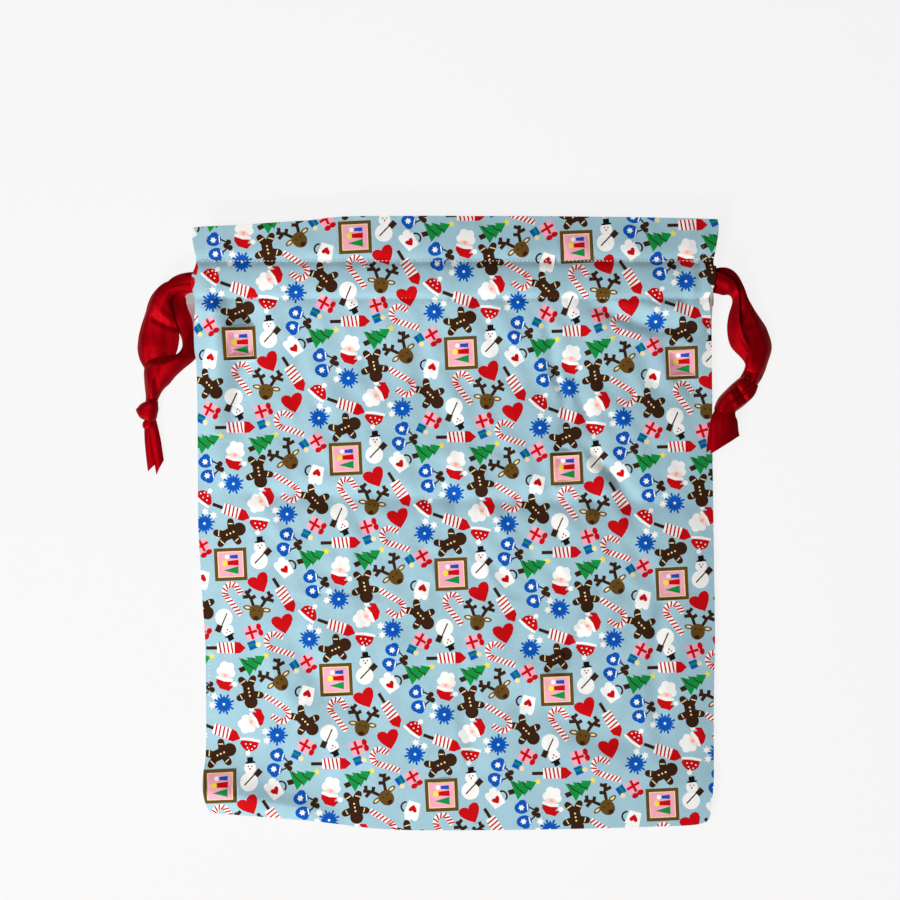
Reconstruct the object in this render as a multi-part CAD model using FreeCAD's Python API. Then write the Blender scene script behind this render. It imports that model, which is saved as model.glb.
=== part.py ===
import FreeCAD, Part
import math
import os

# Drawstring gift pouch, lying flat on its back panel, in millimetres.
# X runs across the pouch, +Y towards its mouth, +Z up.
# The origin is under the middle of the pouch, on the surface that it lies on.
#
# Two printed cotton panels are sewn together down both sides and along the bottom.
# Each panel's top edge is turned down inside and sewn with two lines, which leaves a header
# above and a flat casing below. The side seams stop short of the casings, so both ends of
# each casing are open. Two satin ribbons run through both casings: the left one goes in at
# the left, turns round at the right end and comes back, and the right one mirrors it.

# Driving dimensions of the cloth
MOUTH_WIDTH = 360.0
SEAM_WIDTH = 356.0
LENGTH = 420.0
HEADER = 31.0
CASING = 24.0
RAW_EDGE = 6.0
SLIT = 78.0
SLIT_HEM = 12.0
CLOTH = 0.6
MOUTH_GAP = 5.0
TOP_LEFT_DROP = 8.0
TOP_LEFT_RUN = 94.0
BOTTOM_LEFT_RISE = 20.0
BOTTOM_LEFT_RUN = 108.0
SIDE_SLOPE = 24.0
RIM = 1.2
HEM_END_GAP = 15.0

# Seams and thread
ALLOWANCE = 8.0
ALLOWANCE_CLEARANCE = 4.0
THREAD_WIDTH = 0.5
THREAD_HEIGHT = 0.2
STITCH_INSET = 0.8
SLIT_STITCH_INSET = 8.0

# Ribbons: flat satin, folded narrower inside the casings
RIBBON_WIDTH = 25.0
RIBBON = 0.8
FOLDED_WIDTH = 16.0
TURN_WIDTH = 3.6
PLAY = 0.3
LEFT_RUN_LOW = 1.5
RIGHT_RUN_LOW = 5.5
TURN_INSET = 13.0
STRAND_START = 168.0
CASING_CLEARANCE = 0.5

# Knots: blocks of the outer size of each tied knot
KNOT_BASE = 0.2
LEFT_KNOT = {"half_width": 13.0, "top": 9.0}
RIGHT_KNOT = {"half_width": 10.0, "top": 12.0}
KNOT_GRIP = 1.0

# Centre lines of the loose ribbon ends, from inside the casing to the cut end.
# The knot is tied round the span between points 5 and 6.
KNOT_SPAN = 5
ROUTES = {
    "left_ribbon_front": [
        (-168.0, 164.5, 10.6),
        (-191.2, 164.5, 10.6),
        (-206.7, 147.0, 8.0),
        (-207.0, 125.5, 4.5),
        (-204.5, 106.0, 3.0),
        (-206.0, 88.0, 3.0),
        (-206.0, 69.0, 3.0),
        (-203.5, 53.0, 2.6),
        (-202.0, 38.0, 2.6),
    ],
    "left_ribbon_back": [
        (-168.0, 164.5, 3.0),
        (-191.2, 164.5, 3.0),
        (-206.0, 146.5, 1.8),
        (-203.5, 125.0, 0.9),
        (-199.0, 106.0, 0.9),
        (-204.0, 88.5, 0.9),
        (-207.0, 70.0, 0.9),
        (-206.0, 54.0, 0.9),
        (-206.5, 39.0, 0.9),
    ],
    "right_ribbon_front": [
        (168.0, 168.5, 11.7),
        (191.2, 168.5, 11.7),
        (204.5, 149.5, 9.0),
        (205.0, 127.5, 6.0),
        (207.0, 108.0, 5.5),
        (199.5, 91.0, 6.0),
        (186.5, 77.0, 7.5),
        (184.5, 61.0, 8.0),
        (185.0, 47.0, 8.0),
    ],
    "right_ribbon_back": [
        (168.0, 168.5, 1.9),
        (191.2, 168.5, 1.9),
        (205.0, 150.0, 1.2),
        (203.5, 127.5, 0.9),
        (205.5, 108.0, 1.2),
        (198.5, 90.5, 2.5),
        (187.0, 76.0, 5.0),
        (185.0, 60.0, 5.6),
        (184.0, 46.0, 5.6),
    ],
}
ARC_SHARE = 0.45

# Places worked out from the dimensions above
HALF_MOUTH = MOUTH_WIDTH / 2
HALF_SEAM = SEAM_WIDTH / 2
TOP = LENGTH / 2
BOTTOM = -LENGTH / 2
UPPER_LINE = TOP - HEADER
LOWER_LINE = UPPER_LINE - CASING
SLIT_BASE = TOP - SLIT
CHANNEL = CLOTH + 2 * RIBBON + 3 * PLAY
BACK_HEM = CLOTH + CHANNEL
FRONT_HEM = BACK_HEM + CLOTH + MOUTH_GAP
FRONT = FRONT_HEM + CLOTH + CHANNEL
HEIGHT = FRONT + CLOTH
HEM_END = HALF_MOUTH - HEM_END_GAP
INNER_RUN = BACK_HEM - PLAY - RIBBON / 2
OUTER_RUN = INNER_RUN - RIBBON - PLAY
MIDDLE = HEIGHT / 2


def point(x, y, z):
    return FreeCAD.Vector(x, y, z)


def box(x, y, z):
    """A block between the two values given for each axis."""
    size = [high - low for low, high in (x, y, z)]
    return Part.makeBox(size[0], size[1], size[2], point(x[0], y[0], z[0]))


def slab(outline, low, high):
    """A flat sheet of that outline, a list of (x, y), between two heights."""
    corners = [point(x, y, low) for x, y in outline]
    face = Part.Face(Part.makePolygon(corners + corners[:1]))
    return face.extrude(point(0, 0, high - low))


def other_face(shape):
    """The same shape for the other panel: turned over about the pouch's middle height."""
    return shape.mirror(point(0, 0, MIDDLE), point(0, 0, 1))


def lower_outline(top):
    """The sewn part of a panel, up to that height, with its bottom left corner pulled up."""
    return [
        (-HALF_SEAM, BOTTOM + BOTTOM_LEFT_RISE),
        (-HALF_SEAM + BOTTOM_LEFT_RUN, BOTTOM),
        (HALF_SEAM, BOTTOM),
        (HALF_SEAM, top),
        (-HALF_SEAM, top),
    ]


def mouth_outline(base):
    """The free part of a panel, from that height to the top fold, with its left corner low."""
    return [
        (-HALF_MOUTH, base),
        (HALF_MOUTH, base),
        (HALF_MOUTH, TOP),
        (-HALF_MOUTH + TOP_LEFT_RUN, TOP),
        (-HALF_MOUTH, TOP - TOP_LEFT_DROP),
    ]


def tray(inset, top):
    """A solid that slopes in from the seams to a flat top; inset draws its foot in."""
    corners = [point(x, y, CLOTH) for x, y in lower_outline(SLIT_BASE + SIDE_SLOPE)]
    foot = Part.makePolygon(corners + corners[:1])
    if inset:
        foot = foot.makeOffset2D(-inset, 2)
    crown = foot.makeOffset2D(-SIDE_SLOPE, 2)
    crown.translate(point(0, 0, top - CLOTH))
    return Part.makeLoft([foot, crown], True, True)


def front_panel():
    shell = tray(0, HEIGHT).cut(tray(RIM, FRONT))
    sewn = shell.common(box((-HALF_SEAM, HALF_SEAM), (BOTTOM, SLIT_BASE), (0, HEIGHT)))
    free = slab(mouth_outline(SLIT_BASE), FRONT, HEIGHT)
    return sewn.fuse(free).removeSplitter()


def back_panel():
    sewn = slab(lower_outline(SLIT_BASE), 0, CLOTH)
    return sewn.fuse(slab(mouth_outline(SLIT_BASE), 0, CLOTH)).removeSplitter()


def casing_hem():
    """The front panel's turned-down top: flat in the header, and a trough round the casing."""
    profile = [
        (TOP, FRONT),
        (UPPER_LINE - CLOTH, FRONT),
        (UPPER_LINE - CLOTH, FRONT_HEM + CLOTH),
        (LOWER_LINE + CLOTH, FRONT_HEM + CLOTH),
        (LOWER_LINE + CLOTH, FRONT),
        (LOWER_LINE - RAW_EDGE, FRONT),
        (LOWER_LINE - RAW_EDGE, FRONT - CLOTH),
        (LOWER_LINE, FRONT - CLOTH),
        (LOWER_LINE, FRONT_HEM),
        (UPPER_LINE, FRONT_HEM),
        (UPPER_LINE, FRONT - CLOTH),
        (TOP, FRONT - CLOTH),
    ]
    corners = [point(-HEM_END, y, z) for y, z in profile]
    face = Part.Face(Part.makePolygon(corners + corners[:1]))
    hem = face.extrude(point(2 * HEM_END, 0, 0))
    return hem.common(slab(mouth_outline(SLIT_BASE), 0, HEIGHT))


def slit_hem(side):
    """One side edge of the front panel beside the slit, folded in under the panel."""
    edges = sorted([side * HALF_MOUTH, side * (HALF_MOUTH - SLIT_HEM)])
    strip = box(edges, (SLIT_BASE, TOP), (FRONT - CLOTH, FRONT))
    return strip.common(slab(mouth_outline(SLIT_BASE), 0, HEIGHT))


def thread_across(y, low):
    half = THREAD_WIDTH / 2
    return box((-HEM_END, HEM_END), (y - half, y + half), (low, low + THREAD_HEIGHT))


def thread_along(x, ends, low):
    half = THREAD_WIDTH / 2
    return box((x - half, x + half), ends, (low, low + THREAD_HEIGHT))


def side_allowance(side):
    """The raw edges of both panels inside a side seam, folded flat on the back panel."""
    outer = side * (HALF_SEAM - ALLOWANCE_CLEARANCE)
    edges = sorted([outer, outer - side * ALLOWANCE])
    low = BOTTOM + BOTTOM_LEFT_RISE + ALLOWANCE_CLEARANCE
    return box(edges, (low, SLIT_BASE), (CLOTH, 3 * CLOTH))


def bottom_allowance():
    """The raw edges inside the bottom seam, which stop short of the corners."""
    low = BOTTOM + ALLOWANCE_CLEARANCE
    left = -HALF_SEAM + BOTTOM_LEFT_RUN
    right = HALF_SEAM - ALLOWANCE_CLEARANCE - 2 * ALLOWANCE
    return box((left, right), (low, low + ALLOWANCE), (CLOTH, 3 * CLOTH))


def cloth_nodes():
    nodes = {
        "front_panel": front_panel(),
        "back_panel": back_panel(),
        "front_casing_hem": casing_hem(),
        "back_casing_hem": other_face(casing_hem()),
        "bottom_seam_allowance": bottom_allowance(),
    }
    for side, name in ((-1, "left"), (1, "right")):
        nodes[f"front_{name}_slit_hem"] = slit_hem(side)
        nodes[f"back_{name}_slit_hem"] = other_face(slit_hem(side))
        nodes[f"{name}_seam_allowance"] = side_allowance(side)
    return nodes


def thread_nodes():
    """Each line of stitching is one strip, on the outside in front and inside behind."""
    nodes = {}
    lines = {"upper": UPPER_LINE + STITCH_INSET, "lower": LOWER_LINE - STITCH_INSET}
    for name, y in lines.items():
        nodes[f"front_{name}_casing_stitching"] = thread_across(y, HEIGHT)
        nodes[f"back_{name}_casing_stitching"] = thread_across(y, 2 * CLOTH)
    slit = (SLIT_BASE + SLIT_HEM / 2, TOP - TOP_LEFT_DROP - SLIT_HEM / 2)
    sewn = (BOTTOM + BOTTOM_LEFT_RISE + ALLOWANCE, SLIT_BASE)
    for side, name in ((-1, "left"), (1, "right")):
        slit_x = side * (HALF_MOUTH - SLIT_STITCH_INSET)
        nodes[f"front_{name}_slit_stitching"] = thread_along(slit_x, slit, HEIGHT)
        nodes[f"back_{name}_slit_stitching"] = thread_along(slit_x, slit, 2 * CLOTH)
        seam_x = side * (HALF_SEAM - ALLOWANCE_CLEARANCE - ALLOWANCE / 2)
        nodes[f"{name}_seam_stitching"] = thread_along(seam_x, sewn, 3 * CLOTH)
    across = (-HALF_SEAM + BOTTOM_LEFT_RUN, HALF_SEAM - 3 * ALLOWANCE)
    y = BOTTOM + ALLOWANCE_CLEARANCE + ALLOWANCE / 2
    half = THREAD_WIDTH / 2
    height = (3 * CLOTH, 3 * CLOTH + THREAD_HEIGHT)
    nodes["bottom_seam_stitching"] = box(across, (y - half, y + half), height)
    return nodes


def rounded_path(route):
    """The route as straight runs joined by tangent arcs, and the arcs' radii."""
    edges, radii = [], []
    at = route[0]
    for before, corner, after in zip(route, route[1:], route[2:]):
        into = corner.sub(before)
        out = after.sub(corner)
        cut = ARC_SHARE * min(into.Length, out.Length)
        into.normalize()
        out.normalize()
        turn = into.getAngle(out)
        radius = cut / math.tan(turn / 2)
        start = corner - into * cut
        end = corner + out * cut
        to_middle = (out - into).normalize()
        middle = corner + to_middle * (radius / math.cos(turn / 2) - radius)
        edges.append(Part.LineSegment(at, start).toShape())
        edges.append(Part.Arc(start, middle, end).toShape())
        radii.append(radius)
        at = end
    edges.append(Part.LineSegment(at, route[-1]).toShape())
    return Part.Wire(edges), radii


def flat_band(path, name):
    """A ribbon of full width along the path, kept level from edge to edge."""
    first = path.OrderedEdges[0]
    start = first.firstVertex().Point
    along = first.lastVertex().Point.sub(start).normalize()
    across = point(0, 0, 1).cross(along).normalize()
    rise = along.cross(across).normalize() * (RIBBON / 2)
    across = across * (RIBBON_WIDTH / 2)
    corners = [start + across + rise, start - across + rise]
    corners += [start - across - rise, start + across - rise]
    sweep = Part.BRepOffsetAPI.MakePipeShell(path)
    sweep.setBiNormalMode(point(0, 0, 1))
    sweep.add(Part.makePolygon(corners + corners[:1]))
    sweep.build()
    sweep.makeSolid()
    band = sweep.shape()
    share = band.Volume / (RIBBON_WIDTH * RIBBON * path.Length)
    print(f"{name}: length {path.Length:.1f}, volume {share:.3f} of section times length")
    return band


def outside_part(path, x):
    """The path from where its first straight run leaves the casing at that x."""
    edges = path.OrderedEdges
    first = edges[0]
    start = first.firstVertex().Point
    leaving = Part.LineSegment(point(x, start.y, start.z), first.lastVertex().Point)
    return Part.Wire([leaving.toShape()] + edges[1:])


def knot_block(front, back, facts):
    """A block round the tied span of both strands, from the surface up."""
    ends = []
    for at in (KNOT_SPAN, KNOT_SPAN + 1):
        x, y = [(front[at][axis] + back[at][axis]) / 2 for axis in (0, 1)]
        ends.append(point(x, y, KNOT_BASE))
    along = ends[1].sub(ends[0]).normalize()
    across = point(0, 0, 1).cross(along) * facts["half_width"]
    start = ends[0] - along * KNOT_GRIP
    end = ends[1] + along * KNOT_GRIP
    corners = [start + across, start - across, end - across, end + across]
    face = Part.Face(Part.makePolygon(corners + corners[:1]))
    return face.extrude(point(0, 0, facts["top"] - KNOT_BASE))


def loose_end(side, name, heights, across):
    """One end of a ribbon: the strand out of the casing to the knot, and the tail below it."""
    route = [point(*p) for p in ROUTES[name]]
    whole, radii = rounded_path(route)
    print(f"{name}: {whole.Length:.1f} long, radii", [round(r, 1) for r in radii])
    outside = side * (HALF_MOUTH + CASING_CLEARANCE)
    above_knot, _ = rounded_path(route[: KNOT_SPAN + 1])
    below_knot, _ = rounded_path(route[KNOT_SPAN + 1 :])
    strand = flat_band(outside_part(above_knot, outside), f"{name}_strand")
    stub = box(sorted([side * STRAND_START, outside]), across, heights)
    return {
        f"{name}_strand": strand.fuse(stub).removeSplitter(),
        f"{name}_tail": flat_band(below_knot, f"{name}_tail"),
    }


def far_turn(side, radius, low):
    """The half ring by which a ribbon turns round from one casing into the other."""
    middle = point(-side * (HALF_MOUTH - TURN_INSET), low, MIDDLE)
    outer = Part.makeCylinder(radius + RIBBON / 2, TURN_WIDTH, middle, point(0, 1, 0))
    inner = Part.makeCylinder(radius - RIBBON / 2, TURN_WIDTH, middle, point(0, 1, 0))
    beyond = sorted([middle.x, middle.x - side * 2 * radius])
    return outer.cut(inner).common(box(beyond, (low, low + TURN_WIDTH), (0, HEIGHT)))


def ribbon_nodes(side, name, run_height, low, turn_low, knot):
    """One ribbon: its two runs in the casings, the turn at the far end, and both loose ends."""
    across = (low, low + FOLDED_WIDTH)
    ends = sorted([side * STRAND_START, -side * (HALF_MOUTH - TURN_INSET)])
    nodes = {}
    for layer, middle in (("back", run_height), ("front", HEIGHT - run_height)):
        heights = (middle - RIBBON / 2, middle + RIBBON / 2)
        nodes[f"{name}_{layer}_run"] = box(ends, across, heights)
        nodes.update(loose_end(side, f"{name}_{layer}", heights, across))
    nodes[f"{name}_knot"] = knot_block(ROUTES[f"{name}_front"], ROUTES[f"{name}_back"], knot)
    nodes[f"{name}_turn"] = far_turn(side, MIDDLE - run_height, turn_low)
    return nodes


left_low = LOWER_LINE + LEFT_RUN_LOW
right_low = LOWER_LINE + RIGHT_RUN_LOW
right_turn_low = right_low + FOLDED_WIDTH - TURN_WIDTH
nodes = cloth_nodes()
nodes.update(thread_nodes())
nodes.update(ribbon_nodes(-1, "left_ribbon", INNER_RUN, left_low, left_low, LEFT_KNOT))
nodes.update(ribbon_nodes(1, "right_ribbon", OUTER_RUN, right_low, right_turn_low, RIGHT_KNOT))

os.makedirs("parts", exist_ok=True)
for name, shape in nodes.items():
    shape.exportStep(f"parts/{name}.step")
    print(f"{name}: {len(shape.Solids)} solid, valid {shape.isValid()}, {shape.BoundBox}")
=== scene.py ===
import math
import bpy
import numpy as np
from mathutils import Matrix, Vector, noise
from mathutils.geometry import delaunay_2d_cdt


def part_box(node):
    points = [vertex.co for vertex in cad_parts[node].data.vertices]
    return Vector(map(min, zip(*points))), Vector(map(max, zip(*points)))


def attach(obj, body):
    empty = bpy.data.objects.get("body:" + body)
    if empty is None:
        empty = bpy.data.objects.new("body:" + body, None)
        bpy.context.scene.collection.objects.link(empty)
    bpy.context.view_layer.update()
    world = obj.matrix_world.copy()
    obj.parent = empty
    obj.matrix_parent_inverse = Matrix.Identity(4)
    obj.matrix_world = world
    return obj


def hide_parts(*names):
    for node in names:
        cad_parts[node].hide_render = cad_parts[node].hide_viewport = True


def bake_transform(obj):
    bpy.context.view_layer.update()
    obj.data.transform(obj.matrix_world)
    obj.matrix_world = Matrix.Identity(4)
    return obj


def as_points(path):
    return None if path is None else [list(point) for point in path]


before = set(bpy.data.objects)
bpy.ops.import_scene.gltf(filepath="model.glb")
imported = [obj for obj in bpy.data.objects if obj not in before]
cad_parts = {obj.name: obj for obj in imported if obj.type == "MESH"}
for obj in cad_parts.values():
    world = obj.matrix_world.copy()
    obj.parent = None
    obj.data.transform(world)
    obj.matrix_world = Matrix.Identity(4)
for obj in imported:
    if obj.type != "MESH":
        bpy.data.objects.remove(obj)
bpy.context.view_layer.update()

# The looks of a drawstring gift pouch that lies flat on its back panel.
# Lengths are in metres, except in lists of points drawn in millimetres, which use MM.
MM = 0.001

# ---------------------------------------------------------------- places read from the frame
panel_low, panel_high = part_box("front_panel")
hem_low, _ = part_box("front_casing_hem")
_, back_hem_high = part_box("back_casing_hem")
TOP = panel_high.y
HALF_WIDTH = panel_high.x
FRONT = panel_high.z
UPPER_LINE = sum(corner.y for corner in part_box("front_upper_casing_stitching")) / 2
LOWER_LINE = sum(corner.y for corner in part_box("front_lower_casing_stitching")) / 2
SLIT_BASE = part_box("front_left_slit_hem")[0].y
HEM_BASE = hem_low.y
HEM_TROUGH = hem_low.z
BACK_TROUGH = back_hem_high.z
CASING = UPPER_LINE - LOWER_LINE

# ---------------------------------------------------------------- colours
def linear(red, green, blue):
    """A colour given as 0 to 255 steps of a display, as linear light."""
    steps = [c / 255 for c in (red, green, blue)]
    return tuple(c / 12.92 if c < 0.04 else ((c + 0.055) / 1.055) ** 2.4 for c in steps)


INK = {
    "ground": linear(155, 191, 204),
    "red": linear(190, 0, 8),
    "blue": linear(0, 80, 174),
    "white": linear(240, 239, 236),
    "cocoa": linear(52, 26, 8),
    "green": linear(6, 138, 62),
    "yellow": linear(238, 218, 60),
    "cream": linear(232, 214, 160),
    "pink": linear(238, 164, 182),
    "skin": linear(244, 210, 192),
    "tan": linear(96, 68, 22),
    "black": linear(14, 10, 12),
}
INKS = list(INK)
# The cotton's plain inside: its own greyish mauve, darkened with painted shade for the shade inside the pouch's
# mouth and its funnel at the left
SHADED_INSIDE = linear(172, 158, 156)
SHOW_THROUGH = 0.16

# ---------------------------------------------------------------- the print: shapes in millimetres
def disc(x, y, across, up=None, count=14):
    turns = [2 * math.pi * i / count for i in range(count)]
    return [(x + across * math.cos(t), y + (up or across) * math.sin(t)) for t in turns]


def star(x, y, points, outer, inner):
    corners = []
    for i in range(2 * points):
        turn = math.pi * i / points + math.pi / 2
        reach = inner if i % 2 else outer
        corners.append((x + reach * math.cos(turn), y + reach * math.sin(turn)))
    return corners


def arc(x, y, radius, start, end, count=7):
    turns = [math.radians(start + (end - start) * i / (count - 1)) for i in range(count)]
    return [(x + radius * math.cos(t), y + radius * math.sin(t)) for t in turns]


def stroke(line, width):
    """A band of that width along a line of points."""
    left, right = [], []
    for i, (x, y) in enumerate(line):
        ahead = line[min(i + 1, len(line) - 1)]
        behind = line[max(i - 1, 0)]
        run, rise = ahead[0] - behind[0], ahead[1] - behind[1]
        half = width / 2 / math.hypot(run, rise)
        left.append((x - rise * half, y + run * half))
        right.append((x + rise * half, y - run * half))
    return left + right[::-1]


def heart_shape(x, y, size):
    corners = []
    for turn in (2 * math.pi * i / 22 for i in range(22)):
        up = 13 * math.cos(turn) - 5 * math.cos(2 * turn) - 2 * math.cos(3 * turn)
        corners.append((x + size * math.sin(turn) ** 3, y + size * up / 15))
    return corners


def heart():
    return [("red", heart_shape(0, 0, 6.5))]


def snowflake():
    flowers = [("white", star(x, y, 6, 2.5, 1.3)) for x, y in ((5.6, -4.4), (1, -7.4))]
    spokes = [("blue", stroke([(0, 0), (x, y)], 1.2)) for x, y in arc(0, 0, 6.4, 22, 337, 8)]
    return spokes + [("blue", star(0, 0, 8, 5.6, 3.4)), ("white", disc(0, 0, 0.8, count=7))] + flowers


def gingerbread():
    hands, feet = ((-6.4, 3), (6.4, 2.4)), ((-3.8, -7.6), (3.4, -8))
    shapes = [("cocoa", disc(0, 6, 4)), ("cocoa", stroke([(0, 4), (0, -3.5)], 6.6))]
    for x, y in hands + feet:
        middle = (0, 1) if y > 0 else (0, -2.5)
        shapes.append(("cocoa", stroke([middle, (x, y)], 4.2)))
        shapes.append(("cocoa", disc(x, y, 2, count=10)))
        across = [(x * 0.82 - y * 0.2, y * 0.82 + x * 0.2), (x * 0.82 + y * 0.2, y * 0.82 - x * 0.2)]
        shapes.append(("cream", stroke(across, 0.6)))
    buttons = [("cream", disc(0, y, 0.6, count=7)) for y in (2.2, 0, -2.2)]
    return shapes + buttons


def snowman():
    return [
        ("white", disc(0, -4.2, 5.3, count=18)),
        ("white", disc(0.4, 3.8, 3.6)),
        ("black", stroke([(-2.4, 6.6), (3.4, 7.4)], 1)),
        ("black", [(-1.4, 7), (2.3, 7.5), (1.9, 10.4), (-1.6, 9.9)]),
        ("black", disc(-0.6, 4.8, 0.45, count=6)),
        ("black", disc(1.5, 4.9, 0.45, count=6)),
        ("red", disc(0.4, 3.4, 0.6, count=6)),
        ("cocoa", stroke([(-2.6, -6), (3.6, 0.6)], 0.8)),
        ("cocoa", [(2.6, 0.4), (5, -1.8), (8, 1.4), (5.4, 3.8)]),
    ]


def tree():
    outline = [(-6.8, -6.2), (6, -5.4), (3.2, -1.2), (5, -1), (2.2, 3), (3.6, 3.2)]
    outline += [(-0.6, 8.8), (-3.6, 3), (-2, 3), (-5.2, -1.8), (-3.2, -1.8)]
    return [
        ("cocoa", [(-1.4, -9.4), (1.6, -9.2), (1.8, -5.4), (-1.2, -5.6)]),
        ("green", outline),
        ("cocoa", stroke([(-3.6, 0.8), (-0.4, 1.4), (2.4, 4.2)], 0.7)),
        ("cocoa", stroke([(-5.6, -4.6), (-1.6, -3.8), (3.4, -0.6)], 0.7)),
        ("yellow", star(-0.6, 9.4, 5, 2.2, 1)),
    ]


def cane():
    line = [(3.6, -9.4), (0.2, -3.4), (-3.4, 3)] + arc(0.4, 5.2, 4.4, 200, 20)[:-1] + [(6, 3.2)]
    shapes = [("white", stroke(line, 3.4))]
    for a, b in zip(line, line[1:]):
        a, b = complex(*a), complex(*b)
        count = max(1, round(abs(b - a) / 2.2))
        reach = (b - a) / abs(b - a) * complex(0.7, 1.7)
        for i in range(count):
            middle = a + (b - a) * ((i + 0.5) / count)
            ends = [(end.real, end.imag) for end in (middle + reach, middle - reach)]
            shapes.append(("red", stroke(ends, 1)))
    return shapes


def lolly():
    shapes = [
        ("cocoa", stroke([(0, -12.6), (0, -4)], 2)),
        ("white", [(-3, -6), (3, -6), (3.4, 5), (-3.4, 5)]),
        ("red", [(-3.6, 4.6), (3.6, 4.6), (3.2, 8), (0.2, 11.4), (-3.2, 7.8)]),
    ]
    for y in (-4.2, -1.8, 0.6, 3):
        shapes.append(("red", stroke([(-3.2, y - 0.5), (3.2, y + 0.5)], 1)))
    return shapes


def deer():
    shapes = []
    for side in (-1, 1):
        antler = [(side * 2.2, 2.6), (side * 4.6, 7.4), (side * 8.4, 11)]
        shapes.append(("cocoa", stroke(antler, 1.9)))
        for x, y, tip_x, tip_y in ((4.4, 6.8, 1.8, 9), (5.6, 8, 9.4, 7.2), (7, 9.8, 5.2, 12.6)):
            shapes.append(("cocoa", stroke([(side * x, y), (side * tip_x, tip_y)], 2.1)))
        shapes.append(("tan", disc(side * 5.6, 1.4, 2.9, 1.5, count=10)))
        shapes.append(("cream", disc(side * 5.8, 1.4, 1.6, 0.7, count=8)))
    shapes += [("tan", disc(0, -1, 4.4, 4.9)), ("cocoa", disc(0, -4.2, 1.7, 1.3, count=10))]
    return shapes + [("black", disc(x, 0.4, 0.5, count=6)) for x in (-1.6, 1.6)]


def mittens():
    cord = [(-4.4, 3.4), (-1.6, 7.4), (1.8, 7.2), (4.2, 3.6)]
    bow = [("cocoa", disc(x, y, 1.7, count=9)) for x, y in ((-1.6, 8.4), (1.8, 8.8), (0.2, 6.6))]
    shapes = [("cocoa", stroke(cord, 1))] + bow
    for side in (-1, 1):
        shapes.append(("blue", disc(side * 4.2, 0, 3.7, 4.6)))
        shapes.append(("blue", disc(side * 7.4, 0.6, 1.5, 2.3, count=9)))
        shapes.append(("white", star(side * 4.2, -0.4, 6, 2, 1.2)))
        shapes.append(("white", stroke([(side * 2, 3.2), (side * 6.2, 3.4)], 0.7)))
    return shapes


def picture():
    def square(half):
        return [(-half, -half), (half, -half), (half, half), (-half, half)]

    return [
        ("tan", square(9.8)),
        ("cream", square(7.8)),
        ("pink", square(7.3)),
        ("green", [(-6, -4.6), (-1.2, -4.6), (-3.6, 4.4)]),
        ("red", [(-0.8, -4.8), (2.6, -4.8), (2, 2), (-0.4, 2)]),
        ("blue", [(3.2, -4.6), (5.8, -4.6), (5.4, 0.4), (3.6, 0.4)]),
        ("yellow", disc(0.8, 3.4, 1.7, count=9)),
        ("white", disc(4.5, 2, 1.4, count=9)),
    ]


def hat():
    dome = [(-5.4, -3.4)] + arc(0, -2.6, 5.4, 170, 40)[1:] + [(6, -1.4), (5.2, -3.6)]
    spots = ((-3, -0.8), (-0.4, -1.6), (2.4, -1.4), (-1.6, 1.2), (1.2, 0.8), (0.2, 2.2))
    shapes = [("red", dome)]
    shapes += [("white", disc(x, y, 0.5, count=6)) for x, y in spots]
    brim = stroke([(-6, -4), (0, -4.6), (6, -4)], 1.5)
    return shapes + [("white", brim), ("white", disc(0.4, 4, 1.5, count=9))]


def mug():
    return [
        ("cocoa", stroke(arc(4, -0.6, 3, 80, -80), 1.1)),
        ("white", [(-4.6, 3.6), (-3.8, -4.6), (3.4, -4.8), (4.6, 3.4)]),
        ("white", disc(-2.6, 4.4, 2, count=9)),
        ("white", disc(1.4, 4.8, 2.4, count=9)),
        ("red", heart_shape(-0.2, -0.4, 2.5)),
    ]


def gnome():
    curls = ((-3.2, -2.4), (3.2, -2.4), (-1.8, -6), (1.8, -6))
    beard = [("white", disc(x, y, 2.6, count=9)) for x, y in curls]
    return beard + [
        ("white", disc(0, -3.2, 4.8)),
        ("skin", disc(0, 0.6, 3.8, 2.6, count=12)),
        ("red", [(-5, 1.8), (5, 1.8), (4.6, 5), (1.6, 8), (-4, 8.4), (-6.4, 4.6), (-3.6, 5.2)]),
        ("white", stroke([(-5, 1.6), (0, 2.4), (5, 1.6)], 1.8)),
        ("white", disc(-6.6, 3.6, 1.6, count=9)),
        ("pink", disc(0, -0.4, 1.1, count=8)),
    ]


def gifts():
    return [
        ("blue", [(3.6, -5.4), (8.6, -4.6), (7.8, 0.4), (3, -0.4)]),
        ("green", stroke([(5.6, -5), (5.2, 0)], 1.2)),
        ("cream", disc(6.2, 1, 1.6, count=8)),
        ("pink", [(-5.8, -5), (2.4, -4.6), (2.2, 2.8), (-6, 2.2)]),
        ("red", stroke([(-1.8, -5), (-2, 2.6)], 1.6)),
        ("red", stroke([(-6, -1.6), (2.4, -1)], 1.6)),
        ("red", disc(-4, 4, 2.1, 1.6, count=10)),
        ("red", disc(-0.4, 4.4, 2.1, 1.6, count=10)),
    ]


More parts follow.
